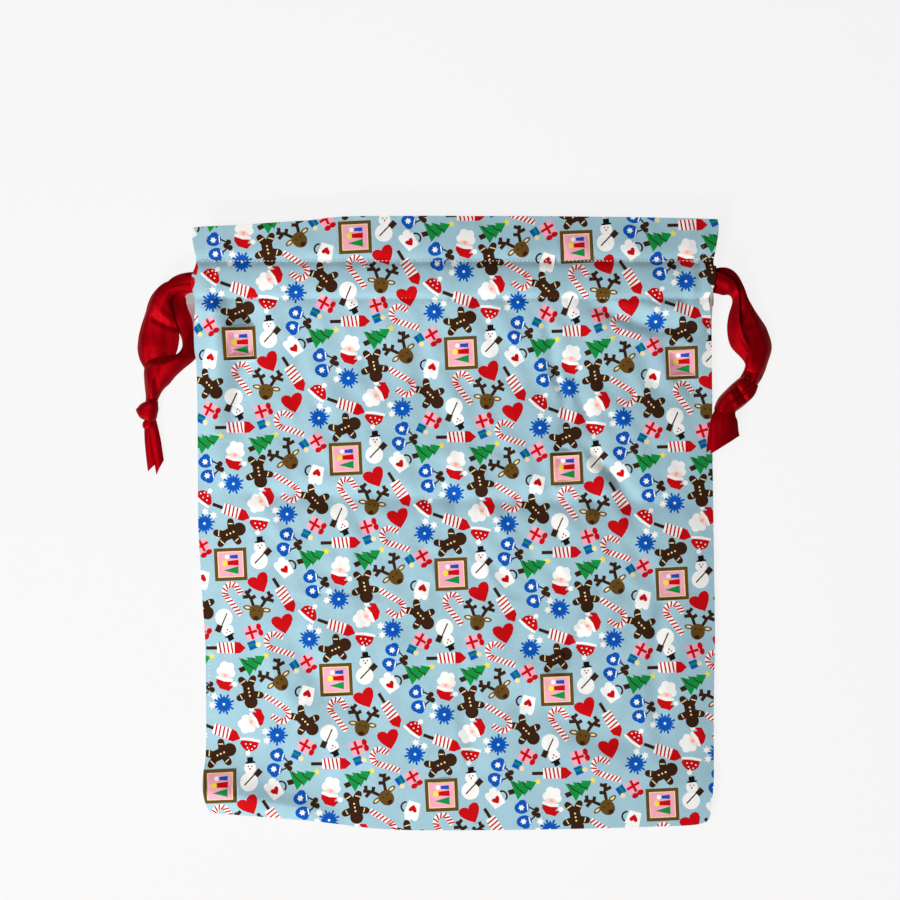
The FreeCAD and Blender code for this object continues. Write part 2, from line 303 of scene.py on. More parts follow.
# The discs that each motif keeps clear, as x, y and radius in millimetres
ROUND = [(0, 0, 5.8)]
TALL = [(0, 4.2, 5.2), (0, -4.2, 5.2)]
CLEARED = {
    heart: ROUND, mug: ROUND, hat: ROUND, tree: TALL, gingerbread: TALL,
    deer: [(0, -1, 5.0), (-6.4, 8.0, 4.4), (6.4, 8.0, 4.4), (-6, 1.4, 2.2), (6, 1.4, 2.2)],
    lolly: [(0, -10.6, 2.0), (0, -4.2, 3.8), (0, 1.6, 4.2), (0, 7.4, 4.0)],
    cane: [(2.2, -7.4, 2.6), (-1.6, -0.6, 3.2), (0.6, 6.0, 5.2)],
    snowflake: [(0, 0, 6.2), (3.6, -6.0, 3.4)],
    gifts: [(-2.0, -0.4, 5.6), (5.8, -2.2, 3.8)],
    picture: [(0, 0, 9.6), (-6, -6, 5.4), (6, -6, 5.4), (6, 6, 5.4), (-6, 6, 5.4)],
    snowman: [(0, -4.4, 6.0), (0.4, 4.6, 4.8), (6, 1.4, 2.6)],
    mittens: [(-5, 0, 4.4), (5, 0, 4.4), (0, 7.4, 3.4)],
    gnome: [(0, -3.2, 6.0), (-0.8, 4.6, 5.4)],
}
# One repeat of the print
TOSSED = [
    picture, heart, deer, snowflake, tree, lolly, gifts, gnome, cane, snowflake, mug, gingerbread,
    hat, snowman, mittens, heart, tree, snowflake, gnome, gifts, lolly, gingerbread, mug, deer,
    cane, hat, snowman, gifts, mittens, gingerbread, cane, lolly,
]
COLUMN = 76.0
REPEAT = 152.0
CLEAR = 0.8
TOSS_SEED = 53
TOSS_ROUNDS = 500
PUSHED, TURNED = 0.12, 0.004
DRAWN_SIZE = 1.15
MOTIF_REACH = 14
PRINT_TILT = math.radians(-2.5)


def toss():
    """Where one repeat's motifs lie and how they turn, pushed and turned until they are clear."""
    dice = np.random.default_rng(TOSS_SEED)
    across, down = 4, 8
    place = np.array([complex(COLUMN * (i + 0.5) / across, REPEAT * (j + 0.5 * (i % 2)) / down)
                      for j in range(down) for i in range(across)])
    place = place[dice.permutation(len(place))]
    turn = dice.uniform(0, 2 * math.pi, len(place))
    discs = [(i, complex(x, y), size) for i, shape in enumerate(TOSSED) for x, y, size in CLEARED[shape]]
    owner, local, radius = (np.array(values) for values in zip(*discs))
    local, radius = DRAWN_SIZE * local, DRAWN_SIZE * radius
    steps = [complex(i * COLUMN, i * COLUMN + j * REPEAT) for i in (-1, 0, 1) for j in (-2, -1, 0, 1)]
    steps = np.array(steps)
    reach = (radius[:, None] + radius[None, :] + CLEAR)[..., None]
    itself = (owner[:, None] == owner[None, :])[..., None] & (steps == 0)
    for _ in range(TOSS_ROUNDS):
        arm = np.exp(1j * turn)[owner] * local
        at = place[owner] + arm
        gap = at[:, None, None] - at[None, :, None] - steps
        distance = np.abs(gap) + 1e-9
        push = np.where(itself, 0, gap * np.clip(reach - distance, 0, None) / distance).sum(axis=(1, 2))
        twist = (arm.conjugate() * push).imag
        for i in range(len(place)):
            mine = owner == i
            place[i] += PUSHED * push[mine].sum()
            turn[i] += TURNED * twist[mine].sum()
    return list(zip(TOSSED, place, turn))


LAID_OUT = toss()


def print_shapes(low, high, shift):
    """Every inked polygon of the print over that rectangle, in metres, the upper ones last."""
    tilt = complex(math.cos(PRINT_TILT), math.sin(PRINT_TILT))
    shapes = []
    for shape, place, turn in LAID_OUT:
        drawn = shape()
        spin = DRAWN_SIZE * tilt * complex(math.cos(turn), math.sin(turn))
        for i in range(-6, 7):
            for j in range(-4, 5):
                step = complex(i * COLUMN, (i % 2) * COLUMN + j * REPEAT) + complex(*shift)
                middle = tilt * (place + step)
                spot = (middle.real, middle.imag)
                if all(a - MOTIF_REACH < p < b + MOTIF_REACH for a, p, b in zip(low, spot, high)):
                    for ink, corners in drawn:
                        points = [middle + spin * complex(*c) for c in corners]
                        shapes.append((ink, [(p.real * MM, p.imag * MM) for p in points]))
    return shapes


# ---------------------------------------------------------------- how the cloth lies
# Outlines of both panels, anticlockwise from the bottom left corner, in millimetres
RIGHT_EDGE = [(170, -206.5), (175, -203), (177, -190), (178.4, -172), (178.6, -120), (179.4, -80),
              (178.6, -20), (177.6, 50), (177, 101), (176, 138), (174.4, 150), (173.6, 154.4),
              (176.4, 160), (178.4, 167), (178.2, 173), (176.9, 179), (178.6, 188), (180.4, 206)]
LEFT_EDGE = [(-180.4, 201), (-179, 190), (-177, 179.5), (-178.8, 173), (-180.6, 165), (-178.6, 156),
             (-178.2, 146), (-179.4, 134), (-179.2, 119), (-177.6, 100), (-177.2, 10), (-176.2, -18),
             (-174, -55), (-172, -90), (-171.6, -155), (-173, -174), (-171.4, -190), (-168, -198.6)]
BOTTOM_EDGE = [(-146, -200.6), (-126, -202), (-102, -204.2), (-80, -207), (-60, -209.6), (-30, -211.2),
               (20, -211.2), (80, -210.4), (130, -209), (160, -208)]
FRONT_TOP = [(172, 208.6), (120, 209.8), (40, 210.6), (-60, 210.6), (-84, 209.6), (-100, 207.6),
             (-126, 206), (-150, 204.4), (-176, 203)]
BACK_TOP = [(178, 209.4), (150, 210.2), (120, 210.2), (40, 210.2), (-60, 210.2), (-84, 209),
            (-100, 207), (-126, 205.4), (-150, 203.8), (-176, 202.4)]
BACK_LEFT_BULGE = [(-180.4, 201), (-179, 190), (-177.6, 180), (-179.4, 172), (-183.4, 165), (-186.4, 157.5),
                   (-184.4, 148), (-180.4, 138)]

EDGE_SLOPE = 60 * MM
SEAM_HEIGHT = 3.4 * MM
SAG = 5.2 * MM
SHEET = 0.35 * MM
RIBBON_TOP = 12.65 * MM
BACK_HEIGHT = 0.7 * MM

# Folds in the front panel: depth and half width, then the line that each follows, all in millimetres.
# A fold with a minus depth is a ridge.
FOLDS = [
    (6, 7, [(-143, 152), (-146, 110), (-154, 50)]),
    (2.2, 7, [(-176, 20), (-60, 18), (60, 15), (174, 13)]),
    (-9, 9, [(-164, 168), (-167, 100), (-172, 40)]),
    (2.7, 3.4, [(62, 152), (68, 110), (76, 80), (72, 40), (64, 28)]),
    (1.8, 4, [(76, 112), (92, 70), (104, 44)]),
    (3.3, 4.5, [(92, 52), (110, 32), (126, 14)]),
    (3.9, 5, [(86, 156), (110, 144), (140, 134), (168, 132)]),
    (-2.4, 6, [(100, 158), (130, 150), (166, 146)]),
    (3.6, 6, [(146, 124), (160, 102), (172, 74)]),
    (2.2, 3.2, [(104, -42), (86, -76), (64, -110)]),
    (-2, 8, [(112, -48), (96, -84), (74, -118)]),
    (1.8, 3.6, [(-158, -40), (-160, -70), (-158, -104)]),
    (1.8, 8, [(-112, -70), (-94, -108), (-54, -136)]),
    (-1.8, 7, [(-134, -66), (-120, -112), (-84, -150)]),
    (2.4, 12, [(40, -120), (120, -150), (170, -120)]),
    (1.8, 5, [(-20, 150), (-24, 110), (-18, 70)]),
    (1.5, 4, [(-90, 150), (-104, 118), (-112, 84)]),
    (1.8, 6, [(150, -30), (138, -90), (142, -150)]),
    (1.5, 5, [(10, -60), (4, -110), (14, -170)]),
    (1.5, 4.5, [(-60, 4), (-64, -40), (-58, -80)]),
]
# Pressed creases, with a sharp line, in the same form
CREASES = [
    (1, 3, [(-176, 20.5), (-60, 18.5), (60, 15.5), (174, 13.5)]),
    (0.6, 1.5, [(-166.5, 214), (-166.8, 180), (-166.5, 150), (-167, 112)]),
    (0.5, 1.5, [(167.5, 214), (167, 180), (166.5, 150), (167, 124)]),
    (1.2, 3, [(104, -36), (92, -62), (78, -84), (64, -114)]),
    (-1, 3, [(60, 30), (72, 50), (76, 84), (70, 112), (64, 140)]),
]
# The bottom left corner's pressed ridge, and how tall it is along that line, in millimetres
CORNER_LINE = [(-185, -181), (-173, -183.4), (-150, -187), (-127, -191.6), (-100, -197), (-74, -204)]
CORNER_RISE = [(-185, 8.5), (-150, 7.0), (-124, 4.6), (-98, 2.4), (-76, 0)]


def smooth(t):
    t = np.clip(t, 0, 1)
    return t * t * (3 - 2 * t)


def outline(front):
    right = RIGHT_EDGE if front else [(x + 0.4 * (y > 130), y) for x, y in RIGHT_EDGE]
    left = LEFT_EDGE if front else BACK_LEFT_BULGE + LEFT_EDGE[8:]
    top = FRONT_TOP if front else BACK_TOP
    return np.array(BOTTOM_EDGE + right + top + left, float) * MM


def curve_point(p0, p1, p2, p3, t):
    """The point at t, from 0 to 1, on the smooth curve from p1 to p2 that heads from p0 and to p3."""
    squared, cubed = 2 * p0 - 5 * p1 + 4 * p2 - p3, 3 * p1 - p0 - 3 * p2 + p3
    return 0.5 * (2 * p1 + (p2 - p0) * t + squared * t**2 + cubed * t**3)


def along(points, step):
    """Points of a smooth curve through those given, about that far apart."""
    points = np.array(points, float)
    padded = [points[0], *points, points[-1]]
    made = []
    for four in zip(padded, padded[1:], padded[2:], padded[3:]):
        count = max(1, round(float(np.linalg.norm(four[2] - four[1])) / step))
        made += [curve_point(*four, t) for t in np.arange(count) / count]
    return np.array(made + [points[-1]])


def distance_to(line, x, y):
    """The distance of each point from a dense line, and the place along it of the nearest point."""
    nearest = np.full(x.shape, np.inf)
    place = np.zeros(x.shape)
    for i, (px, py) in enumerate(line):
        found = np.hypot(x - px, y - py)
        closer = found < nearest
        nearest[closer] = found[closer]
        place[closer] = i / (len(line) - 1)
    return nearest, place


def ripples(x, y, size_x, size_y, seed):
    """Smooth noise from -1 to 1, with humps of that size along X and Y."""
    return np.array([noise.noise(Vector((a / size_x, b / size_y, seed))) for a, b in zip(x, y)])


SEAM = along([p for p in LEFT_EDGE if p[1] <= 134] + BOTTOM_EDGE + [p for p in RIGHT_EDGE if p[1] <= 138], 4)
SEAM = SEAM * MM


def bump(t):
    return np.exp(-t * t)


def seam_height(y):
    """How high the two panels' joined edge stands over the floor, highest at the foot of the slits."""
    at_slits = 3.4 * smooth((y - 40 * MM) / (90 * MM))
    at_bottom = 3.6 * smooth((-150 * MM - y) / (50 * MM))
    return SEAM_HEIGHT + (at_slits + at_bottom) * MM


def front_height(x, y):
    """The height of the front panel's outer face."""
    from_seam, _ = distance_to(SEAM, x, y)
    reach = EDGE_SLOPE * (1 - 0.62 * smooth((y - 90 * MM) / (42 * MM)))
    rise = 1 - (1 - np.clip(from_seam / reach, 0, 1)) ** 2.0
    middle = FRONT - 0.4 * MM - SAG * smooth((LOWER_LINE - y) / (60 * MM))
    z = seam_height(y) + (middle - seam_height(y)) * rise
    relief = np.zeros(x.shape)
    creased = np.zeros(x.shape)
    for folds, power, total in ((FOLDS, 2.0, relief), (CREASES, 1.2, creased)):
        for depth, width, line in folds:
            far, place = distance_to(along(line, 4) * MM, x, y)
            fade = np.sqrt(np.clip(np.sin(np.pi * np.clip(place, 0.02, 0.98)), 0, 1))
            total -= depth * MM * np.exp(-((far / (width * MM)) ** power)) * fade
    relief += 1.1 * MM * ripples(x, y, 0.045, 0.060, 3.0)
    relief += 1.2 * MM * ripples(x + 0.5 * y * np.sign(y + 0.05), y, 0.012, 0.019, 7.0)
    relief += 0.16 * MM * ripples(x, y, 0.0055, 0.0065, 17.0)
    body = smooth((LOWER_LINE + 2 * MM - y) / (12 * MM))
    z += relief * rise * (0.3 + 0.7 * body) + creased * np.sqrt(rise) + corner_ridge(x, y)
    z += casing_relief(x, y)
    over_ribbons = smooth((y - 157.5 * MM) / (2 * MM)) * smooth((179 * MM - y) / (2 * MM))
    kept_up = RIBBON_TOP + 0.12 * MM * np.logaddexp(0, (z - RIBBON_TOP) / (0.12 * MM))
    return z + over_ribbons * (kept_up - z)


def corner_ridge(x, y):
    """The bottom left corner stands up along a pressed line, steep on its side towards the mouth."""
    line, rises = np.array(CORNER_LINE) * MM, np.array(CORNER_RISE) * MM
    north = y - np.interp(x, line[:, 0], line[:, 1])
    tall = np.interp(x, rises[:, 0], rises[:, 1])
    wide = 3 * MM + 1.4 * tall
    mouth_side, foot_side = np.clip(north, 0, None) / wide, np.clip(-north, 0, None) / (14 * MM)
    return tall * np.exp(-mouth_side ** 1.6 - foot_side ** 1.6)


def casing_relief(x, y):
    """The casing's bulge between its two lines of stitching, and the upright puckers in it."""
    inside = np.clip((y - LOWER_LINE) / CASING, 0, 1)
    bulge = 1.6 * MM * np.sin(np.pi * inside ** 0.8)
    above = y > UPPER_LINE
    upper = bump((y - UPPER_LINE) / np.where(above, 4.5 * MM, 3.0 * MM))
    lines = upper + 0.6 * bump((y - LOWER_LINE) / (1.5 * MM))
    near = smooth((y - LOWER_LINE + 14 * MM) / (16 * MM))
    ends = 0.6 + 1.5 * smooth((x - 0.128) / 0.045) + 0.9 * smooth((-x - 0.140) / 0.04)
    puckers = ripples(x + 0.10 * (y - UPPER_LINE), y, 0.0075, 0.060, 21.0)
    in_header = smooth((y - UPPER_LINE) / (12 * MM))
    strength = 0.6 * MM * near * ends * (1 - 0.5 * in_header)
    header = smooth((y - UPPER_LINE) / (34 * MM))
    wave = 1.0 * MM * in_header * ripples(x, y, 0.032, 0.05, 31.0) - 1.8 * MM * header
    return bulge - 1.5 * MM * lines + strength * puckers + wave


def back_height(x, y):
    """The height of the back panel's inner face, which lies on the floor's side of the pouch."""
    from_seam, _ = distance_to(SEAM, x, y)
    curl = seam_height(y) + corner_ridge(x, y) - 0.6 * MM - BACK_HEIGHT
    curl = curl * np.exp(-((from_seam / (9 * MM)) ** 1.5))
    return BACK_HEIGHT + curl + 0.22 * MM * (1 + ripples(x, y, 0.03, 0.04, 50.0))


def hem_height(front):
    """The height of a casing hem's face towards the mouth: a trough round the casing."""
    trough = HEM_TROUGH if front else BACK_TROUGH
    lift = -1 if front else 1

    def height(x, y):
        panel = front_height(x, y) - SHEET if front else back_height(x, y)
        flat = panel + lift * 2 * SHEET
        inside = smooth((y - LOWER_LINE + 1 * MM) / (3 * MM)) * smooth((UPPER_LINE + 1 * MM - y) / (3 * MM))
        sag = 0.3 * MM * ripples(x, y, 0.012, 0.05, 61.0)
        return flat + (trough + sag - flat) * inside

    return height


# ---------------------------------------------------------------- meshes
def new_mesh(name, points, faces, material, sharp=()):
    mesh = bpy.data.meshes.new(name)
    mesh.from_pydata([tuple(p) for p in points], [], [tuple(f) for f in faces])
    smooth_faces = np.ones(len(faces), bool)
    smooth_faces[list(sharp)] = False
    mesh.polygons.foreach_set("use_smooth", smooth_faces)
    mesh.materials.append(material)
    piece = bpy.data.objects.new(name, mesh)
    bpy.context.scene.collection.objects.link(piece)
    return piece


def cut_cloth(border, shift, fine):
    """A flat sheet cut into triangles along the print, as points, triangles and ink numbers."""
    low, high = border.min(axis=0), border.max(axis=0)
    points = [Vector(p) for p in border]
    faces = [list(range(len(border)))]
    inks = ["ground"]
    split = len(points)
    points += [Vector((0, low[1] - 0.01)), Vector((0, high[1] + 0.01))]
    y, row = low[1], 0
    while y < high[1]:
        step = 1.6 * MM if LOWER_LINE - 4 * MM < y < UPPER_LINE + 4 * MM else fine
        points += [Vector((x + (row % 2) * fine / 2, y)) for x in np.arange(low[0], high[0], fine)]
        points.append(Vector((0, y)))
        y, row = y + step, row + 1
    for out in (0, 0.5, 1.2, 2.4):
        points += [Vector((px, py + out * MM)) for px, py in along(CORNER_LINE, 2) * MM]
    for ink, corners in print_shapes(low / MM, high / MM, shift):
        area = sum(a[0] * b[1] - a[1] * b[0] for a, b in zip(corners, corners[1:] + corners[:1]))
        corners = corners if area > 0 else corners[::-1]
        faces.append(list(range(len(points), len(points) + len(corners))))
        points += [Vector(c) for c in corners]
        inks.append(ink)
    flat, _, made, _, _, sources = delaunay_2d_cdt(points, [(split, split + 1)], faces, 0, 1e-6, True)
    kept = [(tuple(f), INKS.index(inks[max(s)])) for f, s in zip(made, sources) if 0 in s]
    flat = np.array([tuple(p) for p in flat])
    return flat, np.array([f for f, _ in kept]), np.array([ink for _, ink in kept])


def half_shell(name, flat, corners, inks, height, print_up, material, normals):
    """A sheet of cloth over those triangles: a printed face and a plain one with painted shade, joined at the
    rim.
    """
    used, corners = np.unique(corners, return_inverse=True)
    corners = corners.reshape(-1, 3)
    count = len(used)
    x, y = flat[used].T
    upper = np.stack([x, y, height(x, y)], axis=1)
    edges = np.concatenate([corners[:, [0, 1]], corners[:, [1, 2]], corners[:, [2, 0]]])
    keys = np.sort(edges, axis=1) @ np.array([count, 1])
    _, first, times = np.unique(keys, return_index=True, return_counts=True)
    rim = edges[first[times == 1]]
    walls = np.concatenate([rim + count, rim[:, ::-1]], axis=1)
    faces = corners.tolist() + (corners[:, ::-1] + count).tolist() + walls.tolist()
    points = np.concatenate([upper, upper - (0, 0, SHEET)])
    piece = new_mesh(name, points, faces, material, range(2 * len(corners), len(faces)))
    normals = normals[used]
    walled = np.cross(upper[rim[:, 1]] - upper[rim[:, 0]], (0, 0, 1))
    walled /= np.linalg.norm(walled, axis=1, keepdims=True) + 1e-12
    split = np.concatenate([normals[corners], -normals[corners[:, ::-1]]]).reshape(-1, 3)
    piece.data.normals_split_custom_set([*split.tolist(), *np.repeat(walled, 4, axis=0).tolist()])
    colours = np.array([INK[ink] for ink in INKS])[inks]
    # The plain face: the inside colour with its painted shade, and a little of the print showing through
    plain = np.array(SHADED_INSIDE) * (1 - SHOW_THROUGH) + colours * SHOW_THROUGH
    sides = np.concatenate([colours, plain] if print_up else [plain, colours])
    loops = np.concatenate([np.repeat(sides, 3, axis=0), np.tile(INK["ground"], (4 * len(walls), 1))])
    loops = np.column_stack([loops, np.ones(len(loops))])
    painted = piece.data.color_attributes.new("print", "FLOAT_COLOR", "CORNER")
    painted.data.foreach_set("color", loops.astype(np.float32).ravel())
    return piece


CLOTH = {}


def lay(name, node, panel, border, shift, height, print_up, fine, slot="printed_cotton"):
    """The left and right halves of a sheet of that panel's cloth, each its own piece."""
    flat, corners, inks = cut_cloth(border, shift, fine)
    spots = np.column_stack([flat, height(flat[:, 0], flat[:, 1])])
    a, b, c = (spots[corners[:, k]] for k in range(3))
    facing = np.cross(b - a, c - a)
    normals = np.zeros(spots.shape)
    for k in range(3):
        np.add.at(normals, corners[:, k], facing)
    normals /= np.linalg.norm(normals, axis=1, keepdims=True) + 1e-15
    middle = flat[corners][:, :, 0].mean(axis=1)
    material = PRINTED if slot == "printed_cotton" else SHADED_PLAIN
    for side, mask in (("left", middle < 0), ("right", middle > 0)):
        if mask.any():
            kept = (flat, corners[mask], inks[mask])
            piece = half_shell(f"{name}_{side}", *kept, height, print_up, material, normals)
            gather(piece, node)
            CLOTH.setdefault((panel, side), []).append(piece)


def gather(piece, node):
    """Bakes the piece's place into its mesh, and hides the CAD piece that it stands for."""
    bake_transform(piece)
    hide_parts(node)


# ---------------------------------------------------------------- materials
def fill(tree, node, **values):
    """Sets a node's settings and inputs by name. An input that is given an output is linked to it."""
    for name, value in values.items():
        socket = name.replace("_", " ")
        if hasattr(node, name):
            setattr(node, name, value)
        elif isinstance(value, bpy.types.NodeSocket):
            tree.links.new(value, node.inputs[socket])
        else:
            node.inputs[socket].default_value = value
    return node


def add(tree, kind, **values):
    return fill(tree, tree.nodes.new(kind), **values)


def new_material(name, roughness):
    made = bpy.data.materials.new(name)
    made.use_nodes = True
    tree = made.node_tree
    return made, tree, fill(tree, tree.nodes["Principled BSDF"], Roughness=roughness)


def grain(tree, scale, stretch=(1, 1, 1)):
    """Noise in the piece's own coordinates, drawn out along one axis."""
    where = add(tree, "ShaderNodeTexCoord").outputs["Object"]
    mapping = add(tree, "ShaderNodeMapping", Scale=stretch, Vector=where)
    return add(tree, "ShaderNodeTexNoise", Scale=scale, Vector=mapping.outputs["Vector"]).outputs["Fac"]


def times(tree, a, b):
    mix = add(tree, "ShaderNodeMix", data_type="RGBA", blend_type="MULTIPLY", Factor=1.0, A=a, B=b)
    return mix.outputs["Result"]


def spread(tree, value, low, high):
    """The value's usual span, 0.3 to 0.7, made into low to high."""
    wide = add(tree, "ShaderNodeMapRange", From_Min=0.3, From_Max=0.7, To_Min=low, To_Max=high, Value=value)
    return wide.outputs["Result"]


def one_colour(tree, colour):
    node = add(tree, "ShaderNodeRGB")
    node.outputs[0].default_value = (*colour, 1)
    return node.outputs[0]


def maths(tree, operation, a, b):
    node = add(tree, "ShaderNodeMath", operation=operation)
    tree.links.new(a, node.inputs[0])
    tree.links.new(b, node.inputs[1])
    return node.outputs[0]


def weave_bump(tree, pitch, strength, slub):
    """Plain weave: threads along X and along Y, at that pitch, and their uneven thickness."""
    where = add(tree, "ShaderNodeTexCoord").outputs["Object"]
    scale = math.pi / 10 / pitch
    waves = [add(tree, "ShaderNodeTexWave", Scale=scale, bands_direction=axis, Vector=where) for axis in "XY"]
    height = maths(tree, "ADD", maths(tree, "MULTIPLY", *(wave.outputs["Fac"] for wave in waves)), slub)
    return add(tree, "ShaderNodeBump", Strength=strength, Distance=0.0002, Height=height).outputs["Normal"]


def cotton(name, painted):
    """Plain-weave cotton: printed where the mesh is painted, or the plain inside of it, whose colour holds
    painted shade.
    """
    made, tree, shader = new_material(name, 0.82)
    if painted:
        base = add(tree, "ShaderNodeAttribute", attribute_name="print").outputs["Color"]
    else:
        base = one_colour(tree, SHADED_INSIDE)
    across = spread(tree, grain(tree, 420, (1, 9, 1)), 0.95, 1.04)
    upward = spread(tree, grain(tree, 420, (9, 1, 1)), 0.95, 1.04)
    cloudy = spread(tree, grain(tree, 45), 0.97, 1.03)
    threads = times(tree, times(tree, across, upward), cloudy)
    fill(tree, shader, Specular_IOR_Level=0.1, Base_Color=times(tree, base, threads),
         Normal=weave_bump(tree, 0.00045, 0.35, across))
    return made


def satin_ribbon():
    """Crimson satin: a soft metallic sheen and a fine grain along the warp."""
    made, tree, shader = new_material("ribbon_satin", 0.36)
    shade = spread(tree, grain(tree, 110), 0.88, 1.10)
    fine = grain(tree, 2600)
    fill(tree, shader, Metallic=0.5, Specular_Tint=(*linear(255, 40, 50), 1),
         Base_Color=times(tree, one_colour(tree, linear(138, 0, 10)), shade),
         Roughness=spread(tree, fine, 0.46, 0.58), Normal=weave_bump(tree, 0.0003, 0.08, fine))
    return made


def sewing_thread():
    made, tree, shader = new_material("thread", 0.55)
    shade = spread(tree, grain(tree, 900), 0.80, 1.0)
    white = one_colour(tree, linear(240, 243, 242))
    fill(tree, shader, Base_Color=times(tree, white, shade))
    return made


PRINTED = cotton("printed_cotton", True)
# The cloth's plain inside, its colour darkened with painted shade
SHADED_PLAIN = cotton("cotton_inside", False)
SATIN = satin_ribbon()
THREAD = sewing_thread()

# ---------------------------------------------------------------- panels and hems
LAYERS = ((True, "front"), (False, "back"))
SIDES = ((-1, "left"), (1, "right"))
for front, layer in LAYERS:
    node = f"{layer}_panel"
    border = along(outline(front) / MM, 3.0) * MM
    shift = (8, 30) if front else (31, -12)
    lay(node, node, node, border, shift, front_height if front else back_height, front, 3 * MM)


def strip(x_low, x_high, y_low, y_high):
    """A rectangle's outline, in metres, with the panels' own top edge where it reaches it."""
    corners = [(x_low, y_low), (x_high, y_low)]
    if y_high < TOP:
        corners += [(x_high, y_high), (x_low, y_high)]
    else:
        top = np.array(sorted(FRONT_TOP))
        xs = np.linspace(x_high, x_low, 40)
        corners += list(zip(xs, np.interp(xs / MM, top[:, 0], top[:, 1]) * MM - 0.4 * MM))
    closed = np.array(corners + corners[:1])
    made = []
    for a, b in zip(closed, closed[1:]):
        count = max(1, round(float(np.linalg.norm(b - a)) / (4 * MM)))
        made += [a + (b - a) * i / count for i in range(count)]
    return np.array(made)


def slit_height(front):
    """A slit's hem lies against its panel, inside, between the panel and the casing's hem."""
    if front:
        return lambda x, y: front_height(x, y) - 1.15 * SHEET
    return lambda x, y: back_height(x, y) + 1.15 * SHEET


def allowance_height(layer):
    def height(x, y):
        return back_height(x, y) + (1.2 + 1.1 * layer) * SHEET + 0.1 * MM * ripples(x, y, 0.01, 0.02, layer)

    return height


HEM_HALF = HALF_WIDTH - 2.6 * MM
for front, layer in LAYERS:
    node = f"{layer}_casing_hem"
    border = strip(-HEM_HALF, HEM_HALF, HEM_BASE, TOP)
    lay(node, node, f"{layer}_panel", border, (-20, 44), hem_height(front), not front, 4 * MM)

SLIT_OUTER = HALF_WIDTH - 3.4 * MM
SLIT_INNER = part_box("front_right_slit_hem")[0].x
for sign, side in SIDES:
    for front, layer in LAYERS:
        node = f"{layer}_{side}_slit_hem"
        low, high = sorted((sign * SLIT_OUTER, sign * SLIT_INNER))
        border = strip(low, high, SLIT_BASE, TOP - 9 * MM)
        lay(f"{node}_fold", node, f"{layer}_panel", border, (5, 9), slit_height(front), not front, 4 * MM)


def seam_strip(side, low, high, near, far):
    """A seam allowance's outline: it follows the pouch's edge, between those distances in from it."""
    edge = along({"left": LEFT_EDGE, "right": RIGHT_EDGE, "bottom": BOTTOM_EDGE}[side], 4) * MM
    if side == "bottom":
        edge = edge[(edge[:, 0] > low.x) & (edge[:, 0] < high.x)]
        inward = np.array([0, 1])
    else:
        edge = edge[(edge[:, 1] > low.y) & (edge[:, 1] < high.y)]
        inward = np.array([1 if side == "left" else -1, 0])
    ring = np.concatenate([edge + inward * near, (edge + inward * far)[::-1]])
    spin = sum(a[0] * b[1] - a[1] * b[0] for a, b in zip(ring, np.roll(ring, -1, axis=0)))
    return ring if spin > 0 else ring[::-1]


# The two raw edges of each seam allowance, one on the other, in the CAD piece's place
for side in ("left", "right", "bottom"):
    node = f"{side}_seam_allowance"
    for layer, panel in enumerate(("back_panel", "front_panel")):
        border = seam_strip(side, *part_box(node), (2.2 + 0.4 * layer) * MM, (9.4 - 0.6 * layer) * MM)
        lay(f"{node}_layer{layer + 1}", node, panel, border, (0, 0), allowance_height(layer), True, 5 * MM,
            "cotton_inside")

# ---------------------------------------------------------------- stitching
STITCH = 2.6 * MM
STITCH_LONG = 2.0 * MM
STITCH_HALF = 0.27 * MM
STITCH_SUNK = 0.35 * MM
WANDER = 0.06 * MM
RINGS, AROUND = 5, 6


def stitch_row(node, start, end, height, lift, thin=1.0):
    """Single stitches from start to end, each sunk at its ends, over that height."""
    name = f"{node}_thread"
    dice = np.random.default_rng(len(name))
    start, end = np.array(start), np.array(end)
    run = end - start
    count = round(float(np.linalg.norm(run)) / STITCH)
    ahead = run / np.linalg.norm(run)
    aside = np.array([-ahead[1], ahead[0]])
    halves = {"left": ([], []), "right": ([], [])}
    for i in range(count):
        middle = start + run * (i + 0.5) / count + aside * dice.normal(0, WANDER)
        lean = dice.normal(0, 0.05)
        points, faces = halves["left" if middle[0] < 0 else "right"]
        base = len(points)
        for ring in range(RINGS):
            t = ring / (RINGS - 1) * 2 - 1
            wide = STITCH_HALF * thin * math.sqrt(max(0.12, 1 - t * t * 0.86))
            at = middle + ahead * t * STITCH_LONG / 2 + aside * t * lean * STITCH_LONG
            for k in range(AROUND):
                turn = 2 * math.pi * k / AROUND
                up = -STITCH_SUNK * t * t + wide * 0.8 * math.sin(turn)
                points.append((*(at + aside * wide * math.cos(turn)), up))
        rings = np.arange(base, len(points)).reshape(RINGS, AROUND)
        turned = np.roll(rings, -1, axis=1)
        walls = np.stack([rings[:-1], turned[:-1], turned[1:], rings[1:]], axis=-1)
        faces += walls.reshape(-1, 4).tolist() + [rings[0, ::-1].tolist(), rings[-1].tolist()]
    for side, (points, faces) in halves.items():
        if points:
            points = np.array(points)
            points[:, 2] = points[:, 2] * np.sign(lift) + height(points[:, 0], points[:, 1]) + lift
            piece = new_mesh(f"{name}_{side}" if abs(ahead[0]) > 0.5 else name, points, faces, THREAD)
            gather(piece, node)


def upright_row(node, x, height, lift, thin=1.0):
    """Stitches straight up the pouch, as far as the CAD piece that they stand for."""
    low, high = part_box(node)
    stitch_row(node, (x, low.y), (x, high.y), height, lift, thin)


def under_back(x, y):
    return back_height(x, y) - SHEET


